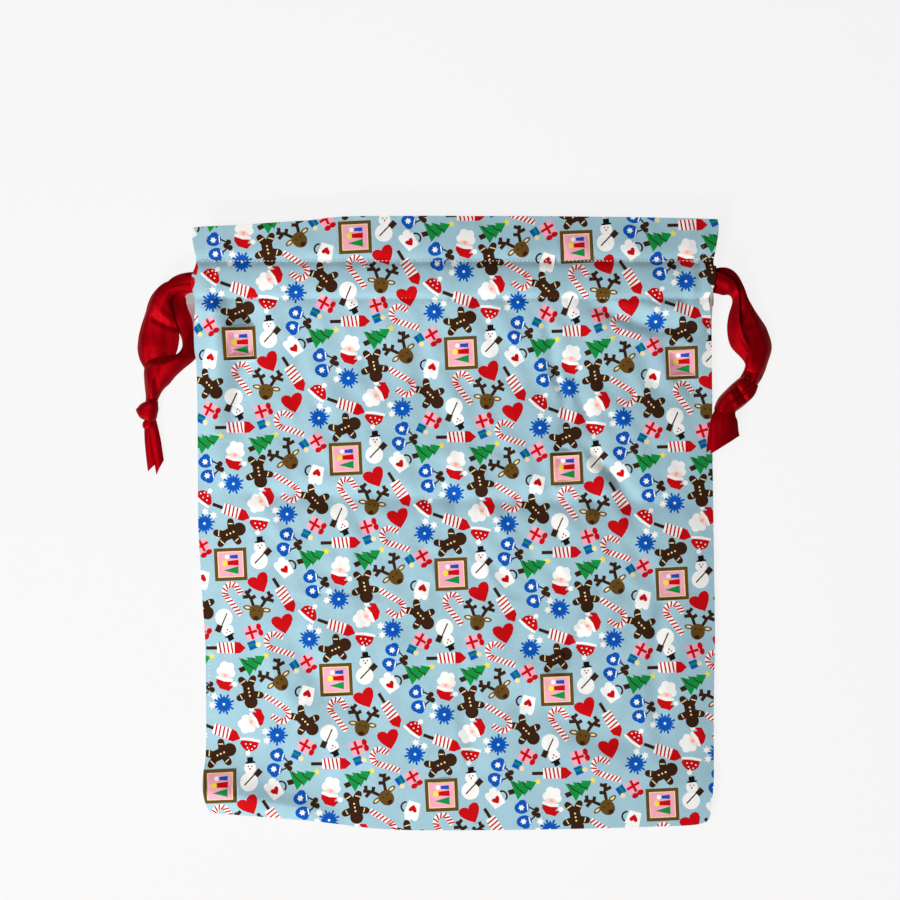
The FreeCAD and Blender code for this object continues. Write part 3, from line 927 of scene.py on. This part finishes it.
LINE_ENDS = {"upper": (UPPER_LINE, -173.5, 176.0), "lower": (LOWER_LINE, -173.0, 171.0)}
for line, (y, left_end, right_end) in LINE_ENDS.items():
    ends = ((left_end * MM, y), (right_end * MM, y))
    stitch_row(f"front_{line}_casing_stitching", *ends, front_height, 0.16 * MM)
    stitch_row(f"back_{line}_casing_stitching", *ends, under_back, -0.02 * MM, 0.6)
for sign, side in SIDES:
    x = sign * (SLIT_INNER + 1.8 * MM)
    upright_row(f"front_{side}_slit_stitching", x, front_height, 0.01 * MM, 0.35)
    upright_row(f"back_{side}_slit_stitching", x, under_back, -0.02 * MM, 0.35)
    x = sign * (HALF_WIDTH - 10.5 * MM)
    upright_row(f"{side}_seam_stitching", x, allowance_height(1), 0.1 * MM)
low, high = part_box("bottom_seam_stitching")
y = (low.y + high.y) / 2
stitch_row("bottom_seam_stitching", (low.x, y), (high.x, y), allowance_height(1), 0.1 * MM)

# ---------------------------------------------------------------- ribbons
RIBBON_SHEET = 0.4 * MM
BAND_STEP = 0.9 * MM
CUT_REACH = 30 * MM
ON_FLOOR = 0.45 * MM
TURN_REACH = 0.0032
# Each ribbon's centre line, from inside its casing to its cut end
ROUTES = {
    "left_ribbon_front": [
        (-0.168, 0.1645, 0.0106), (-0.1930, 0.1650, 0.0112), (-0.2040, 0.1545, 0.0112),
        (-0.2035, 0.1370, 0.0060), (-0.2035, 0.1180, 0.0080), (-0.2050, 0.1010, 0.0055),
        (-0.2085, 0.0870, 0.0050), (-0.2110, 0.0740, 0.0048), (-0.2080, 0.0580, 0.0032),
        (-0.2050, 0.0370, 0.0022),
    ],
    "left_ribbon_back": [
        (-0.168, 0.1645, 0.0030), (-0.1860, 0.1645, 0.0030), (-0.1935, 0.1560, 0.0026),
        (-0.1880, 0.1420, 0.0024), (-0.1835, 0.1290, 0.0030), (-0.1840, 0.1170, 0.0060),
        (-0.1930, 0.1080, 0.0085), (-0.2030, 0.0990, 0.0085), (-0.2085, 0.0870, 0.0062),
        (-0.2105, 0.0740, 0.0045), (-0.2120, 0.0580, 0.0026), (-0.2095, 0.0370, 0.0016),
    ],
    "right_ribbon_front": [
        (0.168, 0.1685, 0.0117), (0.1840, 0.1668, 0.0120), (0.1937, 0.1612, 0.0105),
        (0.1945, 0.1510, 0.0085), (0.1926, 0.1420, 0.0070), (0.1925, 0.1310, 0.0070),
        (0.1985, 0.1200, 0.0072), (0.2070, 0.1090, 0.0070), (0.2040, 0.0965, 0.0078),
        (0.1940, 0.0865, 0.0080), (0.1850, 0.0775, 0.0092), (0.1840, 0.0640, 0.0110),
        (0.1825, 0.0480, 0.0100),
    ],
    "right_ribbon_back": [
        (0.168, 0.1685, 0.0019), (0.1860, 0.1705, 0.0025), (0.1960, 0.1590, 0.0048),
        (0.2010, 0.1450, 0.0055), (0.2050, 0.1310, 0.0030), (0.2080, 0.1190, 0.0050),
        (0.2060, 0.1080, 0.0078), (0.2010, 0.0970, 0.0045), (0.1920, 0.0860, 0.0055),
        (0.1835, 0.0765, 0.0080), (0.1790, 0.0630, 0.0095), (0.1770, 0.0480, 0.0085),
    ],
}


def spline_points(route):
    """Points along the NURBS spline that has the route's points as its control points."""
    curve = bpy.data.curves.new("ribbon_line", "CURVE")
    curve.dimensions = "3D"
    curve.resolution_u = 32
    spline = curve.splines.new("NURBS")
    spline.points.add(len(route) - 1)
    for point, place in zip(spline.points, route):
        point.co = (*place, 1)
    spline.order_u = 3
    spline.use_endpoint_u = True
    holder = bpy.data.objects.new("ribbon_line", curve)
    mesh = bpy.data.meshes.new_from_object(holder)
    points = np.array([v.co[:] for v in mesh.vertices])
    bpy.data.meshes.remove(mesh)
    bpy.data.objects.remove(holder)
    bpy.data.curves.remove(curve)
    return points


def smoothed(values, reach):
    """Values along a ribbon with their corners rounded over that many steps each way."""
    weights = np.hanning(2 * reach + 3)[1:-1]
    padded = np.pad(values, ((reach, reach), (0, 0)), mode="edge")
    columns = [np.convolve(column, weights / weights.sum(), "valid") for column in padded.T]
    return np.stack(columns, axis=1)


def across_spans(controls, count):
    """Points of smooth curves through each row's control points, that many to a span."""
    columns = [controls[:, 0], *np.moveaxis(controls, 1, 0), controls[:, -1]]
    spans = zip(columns, columns[1:], columns[2:], columns[3:])
    made = [curve_point(*four, t) for four in spans for t in np.arange(count) / count]
    return np.stack(made + [controls[:, -1]], axis=1)


def lengths(line):
    return np.concatenate([[0], np.cumsum(np.linalg.norm(np.diff(line, axis=0), axis=1))])


def read_off(places, marks, table):
    """Each column of a table, whose rows stand at those marks, read off at the places."""
    return np.stack([np.interp(places, marks, column) for column in table.T], axis=-1)


def shell_of(name, grid, thick, closed=False):
    """A ribbon's mesh: the grid of points, one row across it for each step along, given a thickness."""
    rows, columns = grid.shape[:2]
    along_it = np.gradient(grid, axis=0)
    spots = np.arange(rows * columns).reshape(rows, columns)
    if closed:
        along_it = np.roll(grid, -1, axis=0) - np.roll(grid, 1, axis=0)
        spots = np.vstack([spots, spots[:1]])
    normal = np.cross(along_it, np.gradient(grid, axis=1))
    normal /= np.linalg.norm(normal, axis=2, keepdims=True) + 1e-12
    points = np.concatenate([grid + normal * thick / 2, grid - normal * thick / 2]).reshape(-1, 3)
    below = rows * columns

    def wall(rim):
        return np.stack([rim[:-1], rim[:-1] + below, rim[1:] + below, rim[1:]], axis=1)

    a, b = spots[:-1], spots[1:]
    upper = np.stack([a[:, :-1], b[:, :-1], b[:, 1:], a[:, 1:]], axis=-1).reshape(-1, 4)
    both = np.stack([upper, upper[:, ::-1] + below], axis=1)
    edges = np.stack([wall(spots[:, 0]), wall(spots[:, -1])[:, ::-1]], axis=1)
    ends = [] if closed else [wall(spots[0])[:, ::-1], wall(spots[-1])]
    faces = np.concatenate([both.reshape(-1, 4), edges.reshape(-1, 4), *ends]).tolist()
    return new_mesh(name, points, faces, SATIN, range(2 * len(upper), len(faces)))


def band(name, line, outward, rows, cut=(0, 0), seed=0.0, dents=()):
    """A ribbon along the line. A row has a place along it, the size of the creases there, and the points
    that the ribbon's width passes through: how far outward from the line and how far above it."""
    steps = lengths(line)
    marks = np.minimum([row[0] * MM for row in rows], steps[-1])
    places = np.arange(marks[0], marks[-1], BAND_STEP)
    middle = smoothed(read_off(places, steps, line), 2)
    ahead = np.gradient(middle, axis=0)
    ahead[:, 2] = 0
    ahead /= np.linalg.norm(ahead, axis=1, keepdims=True)
    side = outward * np.stack([ahead[:, 1], -ahead[:, 0], np.zeros(len(ahead))], axis=1)
    table = np.array([row[2:] for row in rows]).reshape(len(rows), -1) * MM
    flat = smoothed(read_off(places, marks, table), 5)
    section = across_spans(flat.reshape(len(places), -1, 2), 5)
    creases = np.interp(places, marks, [row[1] for row in rows]) * MM
    grid = middle[:, None] + side[:, None] * section[..., :1]
    grid[..., 2] += section[..., 1]
    # The cut end slants, and the last of the ribbon is drawn out or in to meet it
    from_end = np.clip(1 - (places[-1] - places) / CUT_REACH, 0, 1) ** 2
    out = section[..., 0]
    inward = (out[:, :1] - out) / (out[:, :1] - out[:, -1:])
    slant = (cut[1] * inward - cut[0] * (1 - inward)) * MM
    grid += ahead[:, None] * (slant * from_end[:, None])[..., None]
    for i, place in enumerate(places):
        for j, share in enumerate(np.linspace(-0.5, 0.5, section.shape[1])):
            long = noise.noise(Vector((place / 0.022, share * 6.5 + seed, seed)))
            fine = noise.noise(Vector((place / 0.009, share * 14 + seed, seed + 9)))
            grid[i, j, 2] += creases[i] * (long + 0.45 * fine)
    x, y = grid[..., 0].ravel(), grid[..., 1].ravel()
    for depth, width, dent in dents:
        far, _ = distance_to(along(dent, 1) * MM, x, y)
        grid[..., 2] -= (depth * MM * bump(far / (width * MM))).reshape(len(places), -1)
    grid[..., 2] = np.maximum(grid[..., 2], ON_FLOOR)
    return shell_of(name, grid, RIBBON_SHEET)


def loop_round(name, line, outward, place, size, tilt, width, bulge, shift):
    """One turn of a knot round the line: a puffed band, tilted, closed on itself."""
    middle, before = read_off(np.array([place * MM, place * MM - 4 * MM]), lengths(line), line)
    ahead = (middle - before) * np.array([1, 1, 0])
    ahead /= np.linalg.norm(ahead)
    side = outward * np.array([ahead[1], -ahead[0], 0])
    up = np.array([0, 0, 1.0])
    turns = np.linspace(0, 2 * math.pi, 40, endpoint=False)
    share = np.linspace(-1, 1, 11)
    grid = np.zeros((len(turns), len(share), 3))
    for i, turn in enumerate(turns):
        out = side * math.cos(turn) * size[0] * MM + up * math.sin(turn) * size[1] * MM
        lean = ahead * tilt * MM * math.cos(turn)
        wide = width * (0.82 - 0.18 * math.cos(turn))
        for j, s in enumerate(share):
            puff = 1 + bulge * max(0.2, math.cos(turn)) * (1 - abs(s)) - 0.3 * s**4
            puff += 0.08 * noise.noise(Vector((turn * 1.2, s * 2.4, place)))
            grid[i, j] = middle + out * puff + lean + ahead * s * wide / 2 * MM + side * shift * MM
    grid[..., 2] = np.maximum(grid[..., 2], ON_FLOOR)
    return shell_of(name, grid, 0.5 * MM, closed=True)


def worn(piece, side, *parts):
    """The piece rides with that side's ribbon, and stands for those parts of the CAD ribbon."""
    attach(piece, f"{side}_drawstring")
    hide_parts(*(f"{side}_ribbon_{part}" for part in parts))


def run_loop(side, start, turn, edges, turn_edges):
    """A ribbon's hidden loop: through the front casing, round its turn, and back through the other."""
    front_z, back_z = RUN_LEVELS[side]
    radius = (front_z - back_z) / 2
    sign = 1 if turn > start else -1
    count = 90
    path = [(start + (turn - start) * i / count, front_z) for i in range(count)]
    for k in range(13):
        angle = math.pi * k / 12
        across = sign * TURN_REACH * math.sin(angle)
        path.append((turn + across, (front_z + back_z) / 2 + radius * math.cos(angle)))
    path += [(turn + (start - turn) * i / count, back_z) for i in range(1, count + 1)]
    share = np.linspace(0, 1, 9)
    grid = np.zeros((len(path), len(share), 3))
    for i, (x, z) in enumerate(path):
        near = float(smooth(1 - abs(x - turn) / 0.022)) if sign * (x - turn) < 0 else 1.0
        low, high = (edge + (turned - edge) * near for edge, turned in zip(edges, turn_edges))
        free = min(1.0, abs(x - start) / 0.01) * (1 - near)
        layer = front_z * 900 + (i > len(path) / 2)
        for j, s in enumerate(share):
            ruffle = 0.30 * MM * noise.noise(Vector((x / 0.020, s * 3.0, layer)))
            grid[i, j] = (x, low + (high - low) * s, z + ruffle * free)
    worn(shell_of(f"{side}_ribbon_loop", grid, 0.35 * MM), side, "front_run", "back_run", "turn")


LINES = {name: spline_points(route) for name, route in ROUTES.items()}

# Rows across each ribbon: place along the line, creases, then points from its outer edge to its inner one
SECTIONS = {
    "left_ribbon_front": [
        (9, 0.2, (7, 0.2), (4, 0.6), (0, 0.6), (-3.5, 0.4), (-6, -0.8)),
        (22, 0.3, (3.8, 0), (2, 0.5), (0, 0.8), (-3, 0.6), (-5, -2)),
        (34, 0.3, (5, -1.5), (2.5, 0.5), (-1, 1.2), (-4.5, 0.8), (-6.4, -2.5)),
        (46, 0.3, (8.6, -4), (5.6, 0.5), (0, 1.5), (-6, 1), (-9, -1)),
        (56, 0.3, (12.4, -3), (8, 0.8), (1, 1), (-5, 0), (-11.5, -1.5)),
        (64, 0.3, (14.6, -3.5), (10, 1), (2, 0.6), (-6, -1), (-14, -2.5)),
        (74, 0.3, (15.4, -4), (10, 1), (2, 0.6), (-6, -1.5), (-12.5, -3)),
        (82, 0.3, (13.4, -4), (8.6, -1), (1, -1.5), (-4, -2.5), (-9, -3)),
        (90, 0.3, (8, -3), (5, -2), (0, -2), (-3, -2.4), (-6, -2.6)),
        (98, 0.3, (4, -2), (2, -0.5), (0, 0), (-2, -0.5), (-4, -2)),
        (104, 0.2, (3, -1), (1.5, 0), (0, 0.5), (-1.5, 0), (-3, -1)),
        (116, 0.2, (3, -1), (1.5, 0.3), (0, 0.8), (-1.5, 0.3), (-3, -1)),
        (126, 0.2, (2, 0), (1, 1), (-1, 1.4), (-3, 0.8), (-4.4, -0.6)),
        (138, 0.2, (2, 0), (1, 1), (-1, 1.2), (-3, 0.8), (-5, -0.4)),
        (200, 0.2, (1.5, 0), (0.5, 0.8), (-1, 1), (-3, 0.6), (-4.8, -0.2)),
    ],
    "left_ribbon_back": [
        (9, 0.2, (9, -0.2), (5, 0.2), (1, 0.3), (-2, 0.2), (-4.5, 0)),
        (24, 0.2, (10, 3), (6, 1.8), (1, 0.2), (-3, -1), (-4.7, -1.6)),
        (34, 0.2, (11.5, 2.8), (7, 1.8), (1, 0.2), (-4, -1.2), (-7.6, -2)),
        (46, 0.2, (8, -1), (4, 0.4), (0, 0.4), (-4, -0.6), (-9, -1.4)),
        (54, 0.2, (5, -1), (3, 1), (0, 1), (-4, -0.8), (-9, -2)),
        (64, 0.3, (3.6, 0), (2, 1.5), (0, 1.6), (-4, -1.4), (-8.6, -4.2)),
        (74, 0.3, (4.2, 0.5), (2.5, 2), (0, 2.2), (-3, 0.6), (-5.6, -3.6)),
        (84, 0.4, (11.4, -1), (7, 1.5), (2, 2.5), (-3, 1), (-5.5, -3)),
        (92, 0.4, (15.5, -3.5), (10, 1.2), (4, 2.5), (-3, 0.6), (-6.5, -4)),
        (100, 0.4, (9, -3), (6, 1), (2, 2.5), (-2.5, 0.6), (-4.5, -3.5)),
        (108, 0.3, (4.3, -1.5), (2.5, 1.2), (0.5, 1.5), (-2, 0.4), (-3.6, -2)),
        (124, 0.2, (3, -1), (1.5, 0.3), (0, 0.8), (-1.5, 0.3), (-3, -1)),
        (136, 0.2, (2.8, -0.5), (1.5, 0.6), (0, 1), (-1.5, 0.6), (-3, 0)),
        (200, 0.2, (2.6, -0.5), (1.5, 0.6), (0, 0.8), (-2, 0.6), (-4, 0)),
    ],
    "right_ribbon_front": [
        (9, 0.1, (5.5, 0.6), (3, 0.6), (-1, 0), (-5, -1.2), (-9, -2.6)),
        (15, 0.2, (4.6, 0.7), (2, 0.7), (-1.4, 0), (-5, -1.4), (-9, -3)),
        (20, 0.2, (3.6, 0.8), (1, 0.8), (-2, 0), (-5.2, -1.6), (-8.9, -3.6)),
        (24, 0.2, (2, 0.4), (0.6, 0.4), (-1.4, -0.4), (-4.2, -1.9), (-7.8, -4.2)),
        (28, 0.2, (1, 0), (0.4, -0.2), (-1, -1), (-2.8, -2.6), (-5.6, -4.6)),
        (34, 0.2, (1, 0), (0.4, -0.5), (-0.6, -1.8), (-1.6, -3.2), (-2.6, -4.6)),
        (44, 0.2, (2.2, 2.2), (1, 1), (-0.6, -0.8), (-2.4, -2.6), (-4, -4.4)),
        (56, 0.2, (4, 2.4), (2, 1.6), (-0.6, 0), (-3, -2), (-5, -4.4)),
        (64, 0.2, (4, 1.6), (2, 1.2), (-1, 0), (-4, -2), (-6.6, -4.6)),
        (74, 0.2, (4, 0.4), (2, 0.4), (-0.4, 0), (-2.6, -1), (-4.4, -3.6)),
        (84, 0.2, (4, -1), (2, 0), (0, 0), (-3, -1), (-5, -3.6)),
        (94, 0.2, (5, -3), (3, 0), (0, 0), (-3, -1), (-4, -4)),
        (106, 0.2, (4, -3), (2, -1), (0, -1), (-2, -1), (-4, -4)),
        (118, 0.2, (6, -1), (3, 0.2), (0, 0.4), (-2, 0), (-4, -1)),
        (128, 0.2, (9.5, -1.5), (5, 0.5), (0, 0.6), (-4, 0.2), (-8, -0.6)),
        (200, 0.2, (12, -1.5), (5, 0.5), (0, 0.6), (-4, 0.2), (-7, -0.6)),
    ],
    "right_ribbon_back": [
        (9, 0.2, (6, 0.4), (4, 0.5), (0, 0.3), (-3, 0.2), (-6, 0)),
        (18, 0.2, (8.5, 2.4), (4.5, 3.4), (0, 2.5), (-2, 1), (-4, 0)),
        (26, 0.2, (5.6, 3), (2.5, 3.5), (-0.5, 2), (-2.4, 0.4), (-4, -1)),
        (38, 0.2, (3.6, 1.5), (1, 2.4), (-2, 2), (-4.4, 0.4), (-6, -1)),
        (48, 0.2, (6.2, -1), (3.4, 1.6), (0, 2), (-4, 1.6), (-7.4, 1.4)),
        (60, 0.2, (10.6, -1), (5, 2.4), (0, 3), (-5, 3.4), (-8.6, 3.6)),
        (72, 0.2, (11.6, -2), (7, 2), (0, 3), (-5, 2.6), (-8, 2)),
        (80, 0.2, (8.8, -3), (5.5, 1.4), (0, 2), (-4, 1.6), (-6.8, 0)),
        (90, 0.2, (8.6, -3), (5, 0.6), (0, 1.2), (-3, 0.4), (-5, -1)),
        (98, 0.2, (7.4, -3), (4.6, 0), (0, 0.4), (-3, 0), (-5, -2)),
        (106, 0.2, (4, -1), (2, -0.4), (0, -0.4), (-2, -0.4), (-4, -2)),
        (118, 0.2, (6, -2), (3, -0.5), (0, -0.4), (-3, -0.4), (-5, -1)),
        (130, 0.2, (9, -1), (5, 0.5), (0, 0.3), (-3, 0.4), (-6, 0)),
        (200, 0.2, (8.5, -1), (5, 0.5), (0, 0.3), (-2, 0.4), (-4.4, 0)),
    ],
}
# Dents and ridges in the ribbons, in the form of the panel's folds
DENTS = {
    "left_ribbon_front": [
        (1.4, 2.2, [(-207, 141), (-200, 137), (-191, 134)]),
        (-1, 2.4, [(-207, 151), (-202, 145), (-196, 139)]),
        (0.8, 2, [(-214, 130), (-211, 122), (-209, 112)]),
    ],
    "left_ribbon_back": [
        (-1.2, 2.2, [(-214, 106), (-210, 97), (-207.5, 88)]),
        (0.9, 1.8, [(-204, 112), (-205, 100), (-205.4, 90)]),
        (-0.8, 2, [(-212, 110), (-202, 109), (-190, 112), (-180, 114)]),
    ],
    "right_ribbon_front": [
        (-0.8, 2.4, [(180, 166), (187, 164), (190, 158)]),
    ],
    "right_ribbon_back": [
        (1.2, 2, [(194, 138), (199, 141), (204, 146)]),
        (-1.2, 2.4, [(196, 130), (202, 132), (210, 135)]),
        (1, 2, [(200, 104), (206, 101), (212, 102)]),
    ],
}
KNOT_DENTS = [
    (2, 1.4, [(184, 98), (192, 95), (199, 85)]),
    (-1, 1.8, [(180, 92), (188, 90), (194, 80)]),
    (1.2, 0.9, [(196, 104), (200, 99), (206, 97)]),
]
# The right knot's two rolls of ribbon, in the form of the sections
ROLLS = {
    "right_knot_upper": [
        (92, 0.3, (0, -3), (-1, 0), (-3, 1.5), (-5, 0), (-6, -4)),
        (98, 1.1, (1, -2), (-1, 2.5), (-4, 3.6), (-7, 2), (-8, -4)),
        (108, 1.1, (0.5, -2), (-1, 2.2), (-4, 3.2), (-7.5, 1.5), (-8.5, -5)),
        (117, 0.4, (2, -2), (0, 1.2), (-3, 2.2), (-7, 1), (-8.5, -5)),
        (124, 0.3, (3, -3), (1, 0), (-2, 0.6), (-5, -1), (-7, -5)),
    ],
    "right_knot_lower": [
        (94, 0.3, (6, -4), (5, 0), (3, 1), (1, 0), (0, -3)),
        (100, 1.1, (8.2, -4), (7, 1.6), (4, 3), (1, 2), (-1, -2)),
        (110, 1.1, (7.5, -4), (6, 1.5), (3, 2.4), (0, 1.6), (-1.5, -2)),
        (119, 0.4, (6, -5), (4.5, 0), (1.5, 1.5), (-1.5, 0.8), (-3, -2)),
        (125, 0.3, (4, -5), (3, -1), (0, 0), (-2, -1), (-3, -3)),
    ],
}
# How far each ribbon's cut end falls short at its outer edge and runs on at its inner one, in millimetres
CUTS = {
    "left_ribbon_front": (-4.5, -4.5), "left_ribbon_back": (-2.5, -2.5),
    "right_ribbon_front": (12.4, 2.2), "right_ribbon_back": (11.4, 1.2),
}
# Where each ribbon leaves the casings, and its heights in the front and the back one
EXIT_X = 0.180
RUN_LEVELS = {"left": (0.0106, 0.0030), "right": (0.0117, 0.0019)}
# The edges of each ribbon's hidden loop, as Y, along the casing and then at its turn
LOOP_EDGES = {
    "left": ((0.1565, 0.1725), (0.1565, 0.1601)),
    "right": ((0.1605, 0.1765), (0.1729, 0.1765)),
}

for sign, side in SIDES:
    outward = -sign
    for layer, level in zip(("front", "back"), RUN_LEVELS[side]):
        name = f"{side}_ribbon_{layer}"
        line = LINES[name]
        seed = 5.0 * (layer == "back") + outward
        ribbon = band(f"{name}_end", line, outward, SECTIONS[name], CUTS[name], seed, DENTS[name])
        worn(ribbon, side, f"{layer}_strand", f"{layer}_tail")
        knot = []
        if (side, layer) == ("left", "front"):
            knot = [
                loop_round("left_knot_upper", line, outward, 116.5, (5.8, 4.8), 0.6, 17, 0.45, 0.8),
                loop_round("left_knot_lower", line, outward, 125, (3.9, 3.2), 1.0, 9, 0.1, 1.0),
            ]
        elif layer == "front":
            knot = [band(roll, line, outward, rows, seed=3.0, dents=KNOT_DENTS) for roll, rows in ROLLS.items()]
        for turn in knot:
            worn(turn, side, "knot")
        from_exit = line[np.argmax(np.abs(line[:, 0]) > EXIT_X):]
        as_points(from_exit)
for sign, side in SIDES:
    run_loop(side, 0.179 * sign, -0.167 * sign, *LOOP_EDGES[side])

# ---------------------------------------------------------------- floor, light and camera
floor_material, tree, shader = new_material("floor", 0.9)
shade = spread(tree, grain(tree, 3), 0.99, 1.0)
fill(tree, shader, Specular_IOR_Level=0.0, Emission_Color=(1, 0.99, 0.99, 1), Emission_Strength=0.865,
     Base_Color=times(tree, one_colour(tree, (0.07, 0.07, 0.07)), shade))
FLOOR_HALF = 30
floor_points = [(x * FLOOR_HALF, y * FLOOR_HALF, 0) for x, y in ((-1, -1), (1, -1), (1, 1), (-1, 1))]
floor = new_mesh("floor", floor_points, [(0, 1, 2, 3)], floor_material)

world = bpy.data.worlds.new("studio")
world.use_nodes = True
fill(world.node_tree, world.node_tree.nodes["Background"], Color=(1, 1, 1, 1), Strength=0.13)
bpy.context.scene.world = world

LAMPS = (("overhead", 3.7, 0.3, (-0.30, 0, 0.75)), ("raking", 65, 0.5, (-1.1, -1.9, 1.25)))
for name, energy, size, place in LAMPS:
    light = bpy.data.lights.new(name, "AREA")
    light.energy = energy
    light.size = size
    light.color = (1, 0.995, 0.985)
    lamp = bpy.data.objects.new(name, light)
    lamp.location = place
    lamp.rotation_euler = (Vector((0, 0.02, 0)) - lamp.location).to_track_quat("-Z", "Y").to_euler()
    bpy.context.scene.collection.objects.link(lamp)

camera_data = bpy.data.cameras.new("camera")
camera_data.sensor_width = 36
camera_data.lens = 72.3
camera = bpy.data.objects.new("camera", camera_data)
camera.location = (-0.0034, 0.0502, 1.25)
bpy.context.scene.collection.objects.link(camera)
bpy.context.scene.camera = camera
bpy.context.scene.view_settings.view_transform = "Standard"
